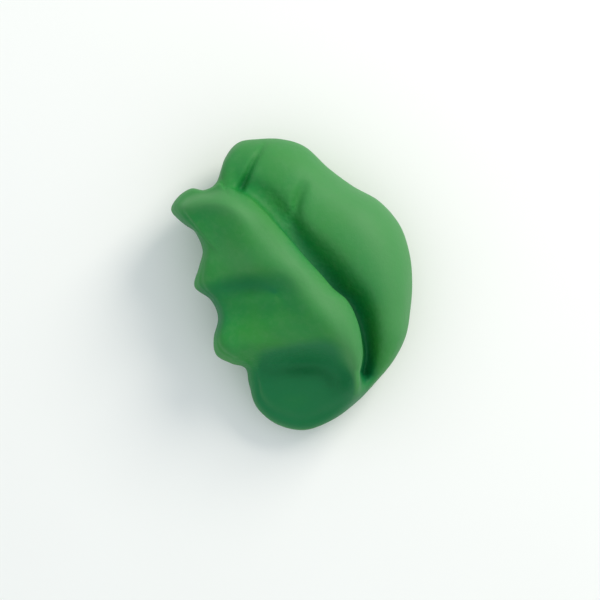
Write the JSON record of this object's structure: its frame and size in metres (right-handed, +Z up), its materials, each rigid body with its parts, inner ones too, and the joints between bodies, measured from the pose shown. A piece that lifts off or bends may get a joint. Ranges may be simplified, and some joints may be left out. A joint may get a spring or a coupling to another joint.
{
  "type": "stress ball",
  "caption": "Mouldable stress ball of latex over packed filling, holding the folded, finger-grooved shape that a closed fist presses into it.",
  "frame": {"origin": "centre of the overall box, on the plane of the flat resting face", "axes": "+X towards the thumb side, +Y along the fist towards the index finger's end, +Z up from the palm to the folded crest"},
  "size_m": [0.084, 0.102, 0.041],
  "materials": {
    "outer_latex": "satin green latex with a soft bloom, stretched smooth over the lobes and finely puckered in the folds",
    "inner_latex": "plain cream latex, dusted with filling",
    "packed_filling": "packed fine starch, matt and slightly grainy",
    "stopper": "soft moulded rubber",
    "seal_latex": "green latex disc bonded flush into the mouth"
  },
  "bodies": {
    "root": {"outer_skin": "outer_latex", "inner_skin": "inner_latex", "filling": "packed_filling", "fill_plug": "stopper", "seal_disc": "seal_latex"}
  },
  "joints": []
}
